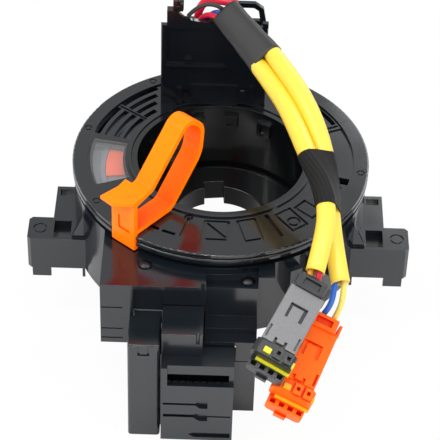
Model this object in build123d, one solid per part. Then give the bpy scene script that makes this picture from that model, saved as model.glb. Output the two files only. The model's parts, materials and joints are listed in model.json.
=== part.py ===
from build123d import *
import math
import os

# Steering clock spring: the rotary electrical joint between a steering column and its wheel.
# A stator drum is fixed to the column by two ears and carries the connector block at its front.
# A rotor turns in the drum, carries a connector tower and a short harness with two plugs, and
# drives a roller carrier that lets a flat ribbon cable wind on and off.
# Frame: Z is the steering axis, Z = 0 is the rear face of the drum, the tower stands at +Y and
# the connector block at -Y. Units are millimetres and degrees.

# ---- rotor ----
RIM_R = 52.0                # outer radius of the rotor
TOP_Z = 36.0                # plane of the rotor's outer ring
PLATE_T = 2.0               # thickness of the rotor's disc
SKIRT_T = 1.7
SKIRT_DROP = 4.4            # height of the rim and skirt together
SKIRT_GAP = 0.5             # gap between the stator's neck and the rotor
RIM_FILLET = 0.55
PANEL_R = RIM_R - 5.2       # the panel inside this radius is sunk by PANEL_SINK
PANEL_SINK = 0.6
PANEL_Z = TOP_Z - PANEL_SINK
DISC_UNDER = PANEL_Z - PLATE_T
WELL_R = 31.5               # central opening in the disc
LIP_W = 1.1                 # raised lip round the central opening
HUB_FIT = 0.1               # gap between the hub tube and the disc's opening
HUB_WALL = 2.1
HUB_Z0 = 5.0                # lower end of the hub tube
HUB_FLANGE_T = 1.6
BORE_R = 16.4               # steering shaft passage through the cam
CAM_FIT = 0.2               # cam rim to the hub's inner flange
CAM_RIM = 3.3               # the cam's flange stands out over its rim by this
CAM_FLANGE_GAP = 2.3        # cam flange to the inside of the hub tube
CAM_FLANGE_R = WELL_R - HUB_FIT - HUB_WALL - CAM_FLANGE_GAP
CAM_FLANGE_T = 1.4
CAM_R = CAM_FLANGE_R - CAM_RIM
KEY_W = 7.2                 # keyway in the cam's bore
KEY_DEPTH = 2.9
KEY_ANGLE = 97.0

# ---- drum (stator) ----
NECK_T = 1.4                # wall of the labyrinth neck that stands up inside the rotor skirt
DRUM_T = 3.1                # wall of the drum
NECK_R = RIM_R - SKIRT_T - SKIRT_GAP
CHAMBER_R = NECK_R - NECK_T  # inner radius of the cable chamber
DRUM_R = CHAMBER_R + DRUM_T
DECK_GAP = 1.9              # rotor skirt to the drum's shoulder
DECK_Z = TOP_Z - SKIRT_DROP - DECK_GAP
NECK_TOP = DISC_UNDER - SKIRT_GAP
COVER_T = 2.0               # rear cover plate
COVER_HOLE_R = CAM_R + 1.3  # opening in the rear cover
COVER_GAP = 0.2             # cover edge to the ears
SHELL = 1.6                 # moulded wall of the case

# ---- window, vents and marks in the rotor's disc ----
WINDOW_A0, WINDOW_A1 = 169.0, 201.5
WINDOW_R0, WINDOW_R1 = WELL_R + 1.9, PANEL_R - 0.8
LENS_LEDGE = 1.0            # width of the ledge that the lens rests on
LENS_T = 1.0
LENS_GAP = 0.1
VENT_W = 2.0
VENT_PITCH = 3.53
VENT_OUTER_R = PANEL_R - 1.2
VENT_RADII = [VENT_OUTER_R - VENT_PITCH * step for step in range(3, -1, -1)]
VENT_A0, VENT_A1 = 144.5, 165.5
VENT_RIB_A = 142.0          # the second group of vents starts here and ends at the tower
GROOVE_W = 0.9
GROOVE_DEPTH = 0.7

# ---- tower ----
TOWER_X0, TOWER_X1 = -22.5, 15.3
TOWER_Y0, TOWER_Y1 = WELL_R - 1.5, PANEL_R - 3.8
TOWER_TOP = 70.0            # top of the tower's front plate
TOWER_WALL = 1.7
TOWER_STEP_L, TOWER_STEP_R = 2.1, 0.7   # the box behind the plate is narrower by these
BOX_TOP = TOWER_TOP - 5.0
INSERT_GAP = 0.15
INSERT_TOP = BOX_TOP - 1.0
SOCKET_FLOOR = 52.0         # floor of the tower's wheel-side socket
PIN_W = 0.64

# ---- front block ----
DECK_X0, DECK_X1 = -38.6, -5.1
DECK_Y = -(DRUM_R + 9.7)
CASE_Z0 = 3.3               # lower edge of the front case
POCKET_X0 = -29.1           # the sunk bay between the left case and the right case
POCKET_Y = DECK_Y + 2.2
FLOOR_Z = DECK_Z - 2.7              # lower deck on the right
RIGHT_X1 = 13.9
RIGHT_Y = DECK_Y + 3.2
STEP1_Y, STEP1_Z = RIGHT_Y - 6.4, 14.5
STEP2_Y, STEP2_Z = STEP1_Y - 4.0, 12.0
HOUSING_GAP = 0.3           # seam between the case and the connector housing
COLUMN_X0, COLUMN_X1 = -28.8, -18.0
COLUMN_Y = DECK_Y - 14.8
COLUMN_Z0 = -26.0
COLUMN_TOP = 17.0
SOCKET_X1 = 6.7
PANEL_Y = COLUMN_Y - 3.6
PANEL_Z0, PANEL_Z1 = -24.0, 2.0
SOCKET_TOP = 10.0
LEG_Z0 = -22.3
SLOT_DEPTH = 1.3            # latch slots in the front panel
CAP_TOP = 19.5
CAP_X1 = -3.9
CAP_Y = COLUMN_Y + 2.8

# ---- ears ----
EAR_X = DRUM_R + 15.5                # outer face of an ear
EAR_Y0, EAR_Y1 = -22.0, -10.4
EAR_TOP, EAR_Z0 = 14.0, 0.5
EAR_WALL = 1.2
EAR_POCKET_X0, EAR_POCKET_X1 = DRUM_R + 0.4, DRUM_R + 6.4
EAR_FOOT_X = DRUM_R - 6.9   # inner end of an ear's front wall
EAR_MARK_R = 2.5
CLAW_Z0 = -3.4
REAR_BOX_X = DRUM_R + 7.0
REAR_BOX_Y1 = 6.7

# ---- cable chamber ----
CARRIER_Z0, CARRIER_T = 28.2, 1.6
CARRIER_R0, CARRIER_R1 = WELL_R + 1.5, CHAMBER_R - 0.8
CARRIER_RIB_R, CARRIER_RIB_W = (CARRIER_R0 + CARRIER_R1) / 2 + 1.2, 1.8
ROLLER_COUNT = 5
ROLLER_PITCH_R = (CHAMBER_R + WELL_R) / 2
ROLLER_R = (CHAMBER_R - WELL_R) / 2 - 2.35
ROLLER_Z0, ROLLER_Z1 = 4.0, 27.8
ROLLER_FIT = 0.06           # running clearance of a roller on its post
POST_R = 1.8
RIBBON_T = 0.35
RIBBON_Z0, RIBBON_Z1 = 4.5, 27.0
RIBBON_GAP = 0.4            # ribbon to chamber wall, hub and rollers
MARKER_A0, MARKER_A1 = 168.0, 189.0
MARKER_R0, MARKER_R1 = CARRIER_R0 + 0.6, CARRIER_RIB_R - 1.1

# ---- transport clip ----
CLIP_DIR = 50.0             # direction from the clip's foot towards the steering axis side
CLIP_REACH = RIM_R + 0.1    # outer face of the foot from the steering axis
CLIP_SIDE = -7.05           # near edge of the clip from the radial line
CLIP_W = 10.2               # width of the foot and the shelf
LOOP_W = 7.2                # width of the loop
CLIP_T = 1.8
CLIP_LIFT = 0.3             # clip over the rotor's disc
FOOT_GAP = 0.4              # foot over the deck
NOTCH_GAP = 0.35            # clip foot in the rim notch
LIP_Z, LIP_T = 50.7, 1.4    # push lip outside the rim

# ---- harness ----
LEAD_D = 1.9                # insulated wire
SLEEVE_D = 6.25             # yellow sleeve over each pair of wires
WRAP_T = 0.7
BAND_W, BAND_H = 12.4, 7.0  # flattened black sleeve at the tower
HOOD_T, HOOD_W = 1.5, 1.4     # turned-up edge of the black sleeve's mouth
FEED_D = 3.0
WIRE_GRIP = 1.2             # length of a wire that is gripped by a sleeve or a plug
PLUG_W = 12.0
PLUG_L = 20.5               # plate of a plug, from its rear cover to its nose
PLUG_H = 9.6
RETAINER_GAP = 0.05
PLUG_T = 1.2                # wall of a plug's shell
PLUG_FIT = 0.05             # plug body in its shell

BAND_END = Vector(13.9, 12.2, 70.2)
BAND_START = Vector(-0.6, 33.0, 75.6)
BAND_ACROSS = Vector(0.80, 0.40, 0.458)   # wide axis of the flattened sleeve
SLEEVE_A_ROUTE = [
    (11.5, 11.5, 68.0), (17.0, 0.5, 67.5), (22.0, -10.5, 66.4), (25.5, -21.5, 65.0),
    (29.0, -33.0, 63.5), (33.0, -43.0, 61.3), (34.8, -52.0, 58.3), (34.2, -61.0, 54.5),
    (31.2, -72.0, 48.4),
]
SLEEVE_B_ROUTE = [
    (16.3, 13.0, 72.0), (21.5, 2.6, 71.5), (26.9, -7.9, 69.5), (31.5, -18.5, 65.6),
    (34.5, -29.0, 61.2), (36.0, -39.5, 56.6), (36.5, -50.0, 52.0), (38.0, -60.0, 46.5),
    (39.9, -69.0, 41.2),
]

GREY_BACK = Vector(29.0, -80.0, 46.9)
GREY_FORWARD = Vector(-0.445, -0.822, -0.356)
GREY_ACROSS = Vector(0.887, -0.347, -0.306)
ORANGE_BACK = Vector(34.0, -79.9, 30.7)
ORANGE_FORWARD = Vector(-0.364, -0.891, -0.270)
ORANGE_ACROSS = Vector(0.910, -0.278, -0.309)


# ---- small helpers ----
def block(x0, x1, y0, y1, z0, z1):
    """Axis-aligned block between two corners, given in either order."""
    size = (abs(x1 - x0), abs(y1 - y0), abs(z1 - z0))
    return Pos((x0 + x1) / 2, (y0 + y1) / 2, (z0 + z1) / 2) * Box(*size)


def disc(radius, z0, z1):
    """Solid round plate about the steering axis."""
    return Pos(0, 0, (z0 + z1) / 2) * Cylinder(radius, z1 - z0)


def ring(outer, inner, z0, z1):
    """Round ring about the steering axis."""
    return disc(outer, z0, z1) - disc(inner, z0, z1)


def sector(outer, inner, a0, a1, z0, z1):
    """Part of a ring between two angles."""
    start = Location((0, 0, z0), (0, 0, a0))
    face = make_face(
        Polyline((inner, 0), (outer, 0))
        + CenterArc((0, 0), outer, 0, a1 - a0)
        + Line(polar(inner, a1 - a0), polar(outer, a1 - a0))
        + CenterArc((0, 0), inner, 0, a1 - a0)
    )
    return start * extrude(face, amount=z1 - z0)


def prism_y(outline, y0, y1):
    """Prism along Y whose section is a closed line of (x, z) points."""
    face = make_face(Plane.XZ.offset(-y0) * outline)
    return extrude(face, amount=y1 - y0, dir=(0, 1, 0))


def polar(radius, angle):
    """Point at a radius and an angle in degrees."""
    return radius * math.cos(math.radians(angle)), radius * math.sin(math.radians(angle))


def turned(shape, angle):
    """Shape turned about the steering axis."""
    return Rot(0, 0, angle) * shape


def arc_radii(points):
    """Largest fair arc at each corner: 0.45 of the shorter run over tan(half the turn)."""
    radii = []
    for before, here, after in zip(points, points[1:], points[2:]):
        run_in = here - before
        run_out = after - here
        half_turn = math.radians(run_in.get_angle(run_out)) / 2
        radii.append(0.45 * min(run_in.length, run_out.length) / math.tan(half_turn))
    return radii


def cable(name, route, diameter):
    """Round cable along straight runs joined by tangent arcs."""
    points = [Vector(*p) for p in route]
    radii = arc_radii(points)
    if radii:
        path = FilletPolyline(*points, radius=radii)
    else:
        path = Line(*points)
    section = Plane(origin=path @ 0, z_dir=path % 0) * Circle(diameter / 2)
    tube = sweep(section, path=path)
    expected = math.pi * diameter ** 2 / 4 * path.length
    shown = ", ".join(f"{r:.0f}" for r in radii)
    print(f"{name}: length {path.length:.1f}, radii {shown}, volume ratio {tube.volume / expected:.4f}")
    return tube


# ---- stator ----
def drum():
    """Drum wall with the labyrinth neck on its shoulder."""
    wall = ring(DRUM_R, CHAMBER_R, COVER_T, DECK_Z)
    neck = ring(NECK_R, CHAMBER_R, DECK_Z, NECK_TOP)
    return wall + neck


def ear(side):
    """One fixing ear: a hollow box with a claw pocket, two claws and a small box behind it."""
    top = block(DRUM_R - 4, EAR_X, EAR_Y0, EAR_Y1, EAR_TOP - SHELL, EAR_TOP)
    front = block(EAR_FOOT_X, EAR_X, EAR_Y0, EAR_Y0 + EAR_WALL, EAR_Z0, EAR_TOP)
    outer = block(EAR_X - SHELL, EAR_X, EAR_Y0, EAR_Y1, EAR_Z0, EAR_TOP)
    back = block(DRUM_R - 2, EAR_X, EAR_Y1 - SHELL, EAR_Y1, EAR_Z0, EAR_TOP)
    web = block(EAR_POCKET_X1, EAR_POCKET_X1 + SHELL, EAR_Y0, EAR_Y1, EAR_Z0, EAR_TOP)
    shape = top + front + outer + back + web
    shape -= block(EAR_POCKET_X0, EAR_POCKET_X1, EAR_Y0 + EAR_WALL, EAR_Y1 - SHELL, EAR_Z0, EAR_TOP)
    corners = shape.edges().filter_by(Axis.Z).group_by(Axis.X)[-1]
    shape = chamfer(corners, 1.2)
    shape += block(EAR_X - 8.1, EAR_X - 1.5, EAR_Y0, EAR_Y0 + EAR_WALL, CLAW_Z0, EAR_Z0)
    shape += block(EAR_FOOT_X, EAR_FOOT_X + 3.2, EAR_Y0, EAR_Y0 + EAR_WALL, CLAW_Z0, EAR_Z0)
    mark = Cylinder(EAR_MARK_R, 0.8) - Cylinder(EAR_MARK_R - 0.5, 0.8)
    shape -= Pos(EAR_X - 4.2, (EAR_Y0 + EAR_Y1) / 2, EAR_TOP) * mark
    rear = block(DRUM_R - 1, REAR_BOX_X, EAR_Y1 - SHELL, REAR_BOX_Y1, EAR_Z0, EAR_TOP)
    rear -= block(DRUM_R - 1, REAR_BOX_X - SHELL, EAR_Y1, REAR_BOX_Y1 - SHELL, EAR_Z0, EAR_TOP - SHELL)
    rear -= block(DRUM_R + 1.1, REAR_BOX_X - 1.3, 1.9, 5.1, EAR_TOP - SHELL, EAR_TOP)
    gusset_x = DRUM_R - 5
    gusset = Polyline(
        (gusset_x, EAR_TOP - 1), (EAR_POCKET_X0, EAR_TOP - 1), (gusset_x, DECK_Z - 4), close=True
    )
    shape += rear + prism_y(gusset, EAR_Y0 + EAR_WALL, EAR_Y0 + 2 * EAR_WALL)
    shape -= disc(CHAMBER_R, CLAW_Z0 - 1, DECK_Z)
    shape -= disc(DRUM_R + COVER_GAP, CLAW_Z0 - 1, COVER_T)
    if side < 0:
        shape = mirror(shape, about=Plane.YZ)
    return shape


def open_box(x0, x1, y0, y1, z0, z1):
    """Thin-walled box that is open at its lower side."""
    outer = block(x0, x1, y0, y1, z0, z1)
    inner = block(x0 + SHELL, x1 - SHELL, y0 + SHELL, y1, z0, z1 - SHELL)
    return outer - inner


def front_case():
    """Hollow case that joins the drum to the connector housing, with the deck over it."""
    inner_y = -30.0
    shape = open_box(DECK_X0, POCKET_X0 + SHELL, DECK_Y, inner_y, CASE_Z0, DECK_Z)
    shape += block(DECK_X0, DECK_X1, DECK_Y, inner_y, DECK_Z - SHELL, DECK_Z)
    shape += open_box(POCKET_X0, DECK_X1 + SHELL, POCKET_Y, inner_y, COLUMN_TOP, DECK_Z)
    shape += block(DECK_X1 - SHELL, DECK_X1, POCKET_Y, inner_y, FLOOR_Z - SHELL, DECK_Z)
    shape += open_box(DECK_X1, RIGHT_X1, RIGHT_Y, inner_y, CASE_Z0, FLOOR_Z)
    shape += block(CAP_X1 + HOUSING_GAP, RIGHT_X1, STEP1_Y, RIGHT_Y + SHELL, STEP1_Z - SHELL, STEP1_Z)
    shape += block(CAP_X1 + HOUSING_GAP, RIGHT_X1, STEP1_Y, STEP1_Y + SHELL, STEP2_Z - SHELL, STEP1_Z)
    shape += block(CAP_X1 + HOUSING_GAP, RIGHT_X1, STEP2_Y, STEP1_Y + SHELL, STEP2_Z - SHELL, STEP2_Z)
    shape += block(SOCKET_X1 + HOUSING_GAP, RIGHT_X1, STEP2_Y, STEP2_Y + SHELL, CASE_Z0, STEP2_Z)
    shape += block(RIGHT_X1 - SHELL, RIGHT_X1, STEP2_Y, RIGHT_Y + SHELL, CASE_Z0, STEP2_Z)
    shape += block(RIGHT_X1, RIGHT_X1 + 5.5, RIGHT_Y + 2.6, inner_y, 16.0, DECK_Z)
    for angle, reach in ((-62.0, 5.0), (-52.5, 3.6), (-43.0, 2.8)):
        shape += turned(block(DRUM_R - 1, DRUM_R + reach, -2.2, 2.2, 16.0, DECK_Z - 1), angle)
    return shape - disc(CHAMBER_R, CASE_Z0 - 1, DECK_Z)


def case_seams(shape):
    """Shallow seam lines across the left face of the case and the clip's slot in the deck."""
    for z in (19.3, 9.6, 5.3):
        shape -= block(DECK_X0, POCKET_X0 - 2, DECK_Y, DECK_Y + 0.4, z, z + 0.5)
    shape -= clip_frame() * block(-0.4, CLIP_T + 0.8, -0.5, CLIP_W + 0.5, DECK_Z - SHELL, DECK_Z)
    return shape


def screw_seats():
    """Places of the two deck screws and their sunk seats: centre and deck height."""
    return ((-24.0, DECK_Y + 10.4, DECK_Z), (10.4, RIGHT_Y + 3.6, FLOOR_Z))


def stator_case():
    shape = drum() + ear(1) + ear(-1) + front_case()
    shape = case_seams(shape)
    for x, y, z in screw_seats():
        shape -= Pos(x, y, z - SHELL / 2) * Cylinder(1.3, SHELL)
        shape -= Pos(x, y, z - 0.3) * Cylinder(2.5, 0.6)
    lead_window = block(POCKET_X0 + 4, -2.0, -CHAMBER_R - 6, -CHAMBER_R + 8, 8.0, 24.0)
    return shape - lead_window


def case_screws():
    """Two domed screws that hold the front case."""
    screws = []
    for x, y, z in screw_seats():
        head = Pos(x, y, z - 0.6) * Cylinder(2.2, 0.8, align=(Align.CENTER, Align.CENTER, Align.MIN))
        dome = Pos(x, y, z - 1.6) * Sphere(2.9)
        dome &= Pos(x, y, z + 0.2) * Cylinder(2.2, 1.4, align=(Align.CENTER, Align.CENTER, Align.MIN))
        shank = Pos(x, y, z - 0.6) * Cylinder(1.1, 4.0, align=(Align.CENTER, Align.CENTER, Align.MAX))
        screws.append(head + dome + shank)
    return Compound(children=screws)


def back_cover():
    """Rear cover: floor of the cable chamber, a guide collar and shallow stiffening rings."""
    plate = ring(DRUM_R, COVER_HOLE_R, 0, COVER_T)
    collar = ring(WELL_R + 1.8, WELL_R + 0.6, COVER_T, COVER_T + 1.6)
    shape = plate + collar
    for radius in (COVER_HOLE_R + 5, COVER_HOLE_R + 13, DRUM_R - 6.5):
        shape -= ring(radius + 0.6, radius - 0.6, 0, 0.6)
    return shape


def connector_housing():
    """Two sockets that open to the rear: a narrow one on the left and a wide one on the right."""
    rear_y = DECK_Y - HOUSING_GAP
    column = block(COLUMN_X0, COLUMN_X1, COLUMN_Y, rear_y, COLUMN_Z0, COLUMN_TOP - HOUSING_GAP)
    front_edges = column.edges().filter_by(Axis.Z).group_by(Axis.Y)[0]
    column = fillet(front_edges, 1.2)
    top_edge = column.edges().group_by(Axis.Z)[-1].group_by(Axis.Y)[0]
    column = fillet(top_edge, 0.8)
    column -= block(COLUMN_X0 + SHELL, COLUMN_X1 - SHELL, COLUMN_Y + SHELL, rear_y - SHELL, COLUMN_Z0, -6.0)
    ledge_x = POCKET_X0 + SHELL + HOUSING_GAP
    ledge_z = COLUMN_TOP - HOUSING_GAP
    column += block(ledge_x, COLUMN_X1, rear_y - 1, POCKET_Y - HOUSING_GAP, ledge_z - 4.0, ledge_z)
    latch = block(-25.4, -21.5, COLUMN_Y, COLUMN_Y + 0.7, 12.0, 16.4)
    latch -= block(-24.7, -22.2, COLUMN_Y, COLUMN_Y + 0.7, 12.7, 16.4)
    column -= latch
    shroud = block(COLUMN_X1, SOCKET_X1, PANEL_Y, rear_y, PANEL_Z0, SOCKET_TOP)
    shroud -= block(COLUMN_X1 + SHELL, SOCKET_X1 - SHELL, PANEL_Y + SHELL, rear_y - SHELL, PANEL_Z0, -2.0)
    shroud -= block(COLUMN_X1 + 2.6, SOCKET_X1, PANEL_Y, CAP_Y - 4.8, PANEL_Z1, SOCKET_TOP)
    shroud -= block(COLUMN_X1 + 2.6, SOCKET_X1 - SHELL, PANEL_Y + SHELL, CAP_Y, -2.0, SOCKET_TOP - 4.0)
    shroud -= block(COLUMN_X1, COLUMN_X1 + 0.5, PANEL_Y, COLUMN_Y + 3, PANEL_Z0, SOCKET_TOP)
    leg = block(SOCKET_X1, RIGHT_X1, STEP2_Y, rear_y, LEG_Z0, CASE_Z0 - HOUSING_GAP)
    leg = chamfer(leg.edges().filter_by(Axis.X).group_by(Axis.Z)[0], 1.6)
    shape = column + shroud + leg
    return shape - panel_slots()


def panel_slots():
    """Latch slots in the front panel: two ramped slits and a long one at the foot."""
    upper = Polyline(
        (-16.8, -7.1), (-6.0, -7.1), (-4.4, -8.6), (-1.8, -8.6), (-1.8, -5.0), (-4.4, -5.0),
        (-6.0, -6.2), (-16.8, -6.2), close=True,
    )
    lower = Polyline(
        (-16.7, -12.9), (-6.6, -12.9), (-4.6, -14.6), (-1.8, -14.6), (-1.8, -12.6), (6.0, -12.6),
        (6.0, -12.0), (-1.8, -12.0), (-1.8, -10.8), (-5.0, -10.8), (-6.6, -11.6), (-16.7, -11.6),
        close=True,
    )
    foot = Polyline((-8.3, -21.2), (-6.2, -22.6), (6.0, -22.6), (6.0, -20.4), (-6.2, -20.4), close=True)
    return [prism_y(outline, PANEL_Y, PANEL_Y + SLOT_DEPTH) for outline in (upper, lower, foot)]


def housing_cap():
    """Raised cover over the wide socket, with a stepped right edge."""
    rear_y = POCKET_Y - HOUSING_GAP
    shape = block(COLUMN_X1 + HOUSING_GAP, CAP_X1, CAP_Y, rear_y, SOCKET_TOP, CAP_TOP)
    shape -= block(CAP_X1 - 2.2, CAP_X1 - 1.2, CAP_Y, CAP_Y + 1.0, CAP_TOP - 4.4, CAP_TOP)
    return shape


def socket_terminals():
    """Blade terminals of both sockets, held in the housing's floor."""
    blades = []
    for row_y in (PANEL_Y + 6.6, PANEL_Y + 10.6):
        for step in range(8):
            x = -14.4 + 2.4 * step
            blades.append(block(x, x + PIN_W, row_y, row_y + PIN_W, -14.0, -2.0))
    for step in range(3):
        x = -25.6 + 2.2 * step
        row_y = COLUMN_Y + 7.4
        blades.append(block(x, x + PIN_W, row_y, row_y + PIN_W, -16.0, -6.0))
    return Compound(children=blades)


def lead_block():
    """Moulded block that joins the ribbon to the socket terminals."""
    y = POCKET_Y + SHELL
    return block(COLUMN_X1 - 2, DECK_X1 - 1.9, y, y + 4.2, COLUMN_TOP + 0.4, 26.0)


# ---- rotor ----
def rotor_profile():
    """Half section of the disc, the double rim and the skirt."""
    skirt_r = NECK_R + SKIRT_GAP
    low = TOP_Z - SKIRT_DROP
    bead = TOP_Z - 1.7
    outline = Polyline(
        (WELL_R, DISC_UNDER), (WELL_R, TOP_Z), (WELL_R + LIP_W, TOP_Z), (WELL_R + LIP_W, PANEL_Z),
        (PANEL_R, PANEL_Z), (PANEL_R, TOP_Z), (RIM_R, TOP_Z), (RIM_R, bead),
        (RIM_R - 0.6, bead - 0.2), (RIM_R - 0.6, bead - 0.6), (RIM_R, bead - 0.8), (RIM_R, low),
        (skirt_r, low), (skirt_r, DISC_UNDER), close=True,
    )
    face = make_face(Plane.XZ * outline)
    rim_corners = [v for v in face.vertices() if v.X > RIM_R - 0.1]
    return fillet(rim_corners, RIM_FILLET)


def clip_frame():
    """Plane of the clip: local X runs inward, local Y along the clip's width, Z up."""
    return Location((0, 0, 0), (0, 0, CLIP_DIR)) * Location((-CLIP_REACH, CLIP_SIDE, 0))


def vents():
    """Concentric slots through the disc, cut short where the tower stands."""
    cuts = []
    low, high = TOP_Z - 5, TOP_Z + 1
    for radius in VENT_RADII:
        inner, outer = radius - VENT_W / 2, radius + VENT_W / 2
        tower_angle = math.degrees(math.acos((TOWER_X0 - 1.5) / radius))
        cuts.append(sector(outer, inner, VENT_A0, VENT_A1, low, high))
        if VENT_RIB_A - tower_angle > 2:
            cuts.append(sector(outer, inner, tower_angle, VENT_RIB_A, low, high))
    cuts.append(sector(PANEL_R - 0.8, PANEL_R - 2.6, 27.0, 41.0, low, high))
    return cuts


def radial_slot(angle, r0, r1, width, depth):
    """Straight radial groove sunk into the disc's panel."""
    return turned(block(r0, r1, -width / 2, width / 2, PANEL_Z - depth, TOP_Z + 1), angle)


def frame_groove(angle, r0, r1, width):
    """Outline of a moulded window mark: a rectangular groove."""
    outer = block(r0, r1, -width / 2, width / 2, PANEL_Z - GROOVE_DEPTH, TOP_Z + 1)
    inset = GROOVE_W
    inner = block(r0 + inset, r1 - inset, inset - width / 2, width / 2 - inset, PANEL_Z - 2, TOP_Z + 1)
    return turned(outer - inner, angle)


def round_groove(angle, radius, outer):
    """Ring groove on the disc's panel."""
    x, y = polar(radius, angle)
    height = 2 * GROOVE_DEPTH
    return Pos(x, y, PANEL_Z) * (Cylinder(outer, height) - Cylinder(outer - GROOVE_W, height))


def disc_marks():
    """Grooves, sunk panel and small slots of the disc's front and right side."""
    near = WELL_R + LIP_W + 1.2
    far = PANEL_R - 0.8
    cuts = [
        radial_slot(-62.2, near, far, 1.5, 1.2),
        radial_slot(-106.7, near, far - 2.0, 1.3, 0.9),
        radial_slot(-97.6, near, far, 0.8, 0.6),
        radial_slot(25.5, near, far, 1.0, 0.8),
        radial_slot(143.3, near, far, 0.9, 0.7),
        radial_slot(-14.5, far - 5.0, far, 3.4, 5.0),
        radial_slot(-19.5, far - 3.4, far - 1.6, 1.2, 1.2),
        frame_groove(-91.0, near, far - 2.2, 8.8),
        frame_groove(-74.5, near, far - 1.0, 7.0),
        frame_groove(-52.5, near + 1.2, far - 0.4, 7.0),
        frame_groove(-41.0, near + 2.2, far - 1.4, 6.0),
        round_groove(-52.5, far - 4.4, 2.4),
        round_groove(-107.4, near + 0.4, 1.6),
        sector(PANEL_R - 0.2, near + 0.2, -9.0, 23.5, PANEL_Z - 0.5, TOP_Z + 1),
    ]
    x, y = polar((near + far - 2.2) / 2, -91.0)
    diagonal = Box(GROOVE_W, 9.6, 2 * GROOVE_DEPTH)
    cuts.append(Pos(x, y, PANEL_Z) * Rot(0, 0, 42) * diagonal)
    for angle in (-120.2, -112.4):
        cuts.append(turned(block(far - 2.8, far - 1.5, -2.4, 2.4, PANEL_Z - 1.2, TOP_Z + 1), angle))
    pin = Cylinder(1.4, 0.8) - Cylinder(0.9, 0.8)
    for angle in (-148.0, 164.0, 121.5, -8.0):
        x, y = polar(RIM_R - 2.6, angle)
        cuts.append(Pos(x, y, TOP_Z) * pin)
    return cuts


def window_cuts():
    """Opening under the lens and the ledge that carries it."""
    top = PANEL_Z
    ledge_a = math.degrees(LENS_LEDGE / WINDOW_R1)
    through = sector(
        WINDOW_R1 - LENS_LEDGE, WINDOW_R0 + LENS_LEDGE,
        WINDOW_A0 + ledge_a, WINDOW_A1 - ledge_a, top - PLATE_T - 1, top + 1,
    )
    seat = sector(WINDOW_R1, WINDOW_R0, WINDOW_A0, WINDOW_A1, top - LENS_T, top + 1)
    return [through, seat]


def window_lens():
    """Clear lens that drops into the window's ledge."""
    top = PANEL_Z
    gap_a = math.degrees(LENS_GAP / WINDOW_R1)
    return sector(
        WINDOW_R1 - LENS_GAP, WINDOW_R0 + LENS_GAP, WINDOW_A0 + gap_a, WINDOW_A1 - gap_a,
        top - LENS_T, top - 0.1,
    )


def tower_box():
    """Tower on the disc: a tall front plate with a narrower open box behind it."""
    inner_x0, inner_x1 = TOWER_X0 + TOWER_STEP_L, TOWER_X1 - TOWER_STEP_R
    plate_y = TOWER_Y0 + TOWER_WALL
    plate = block(TOWER_X0, TOWER_X1, TOWER_Y0, plate_y, TOP_Z, TOWER_TOP)
    plate = fillet(plate.edges().filter_by(Axis.Z).group_by(Axis.Y)[0], 0.6)
    shape = plate + block(inner_x0, inner_x1, TOWER_Y0 + 0.8, TOWER_Y1, TOP_Z, BOX_TOP)
    outside = disc(RIM_R - 0.4, TOP_Z - 3, TOP_Z) - disc(WELL_R, TOP_Z - 3, TOP_Z)
    shape += block(TOWER_X0, TOWER_X1, TOWER_Y0, TOWER_Y1, TOP_Z - 2, TOP_Z) & outside
    well = block(
        inner_x0 + TOWER_WALL, inner_x1 - TOWER_WALL, plate_y, TOWER_Y1 - TOWER_WALL,
        TOP_Z + 2, BOX_TOP,
    )
    return shape - well


def tower_face():
    """Relief on the tower's front plate and the guards round its mouth."""
    y = TOWER_Y0
    add = block(-20.6, 0.4, y - 0.6, y, 52.0, 52.8)
    add += block(-14.0, -11.6, y - 0.9, y + 1.0, 54.8, 56.0)
    add += block(-16.7, -14.8, y - 1.0, y, TOP_Z, 43.0)
    add += block(-11.6, 5.2, y - 0.8, y, TOP_Z, 44.6)
    add += block(9.2, 10.7, y - 0.8, y, TOP_Z, 44.4)
    add += block(5.9, 7.6, y - 0.5, y, 39.8, 42.0)
    guard = (
        Polyline((-17.4, TOWER_TOP), (-17.4, 75.6), (-16.2, 75.6))
        + ThreePointArc((-16.2, 75.6), (-14.0, 72.9), (-10.4, 72.0))
        + Polyline((-10.4, 72.0), (-1.2, 70.4), (-1.2, TOWER_TOP), (-17.4, TOWER_TOP))
    )
    add += prism_y(guard, y + 0.2, y + TOWER_WALL)
    add += block(-20.4, -17.4, y + 0.2, y + 3.0, TOWER_TOP, 76.0)
    add += block(-20.4, -14.8, y + TOWER_WALL, y + 3.0, 74.8, 76.0)
    add += block(-18.3, -16.9, y + 1.0, y + 3.6, 76.0, 79.4)
    add += block(-15.8, -14.6, y + 1.0, y + 3.6, 76.0, 78.4)
    add += block(-18.3, -14.6, y + 2.4, y + 3.6, 76.0, 78.6)
    add += block(13.3, TOWER_X1, y, y + TOWER_WALL, TOWER_TOP, 71.8)
    hoop = Polyline(
        (1.4, BOX_TOP), (1.4, 72.4), (10.6, 72.4), (13.6, 70.2), (14.6, BOX_TOP),
        (12.5, BOX_TOP), (11.8, 69.3), (10.1, 70.5), (3.4, 70.5), (3.4, BOX_TOP), close=True,
    )
    add += prism_y(hoop, TOWER_Y1 - TOWER_WALL, TOWER_Y1)
    cut = block(-20.4, 0.4, y, y + 0.6, 53.4, 68.6)
    cut += block(-14.4, -11.9, y - 1, y + 1.2, 37.2, 41.8)
    return add, cut


def rotor_disc():
    shape = revolve(rotor_profile(), axis=Axis.Z)
    shape += tower_box()
    relief, sunk = tower_face()
    shape -= sunk
    shape += relief
    for cut in vents() + disc_marks() + window_cuts():
        shape -= cut
    notch = block(-3.0, CLIP_T + NOTCH_GAP, -NOTCH_GAP, CLIP_W + NOTCH_GAP, TOP_Z - 6, TOP_Z + 1)
    return shape - clip_frame() * notch


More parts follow.
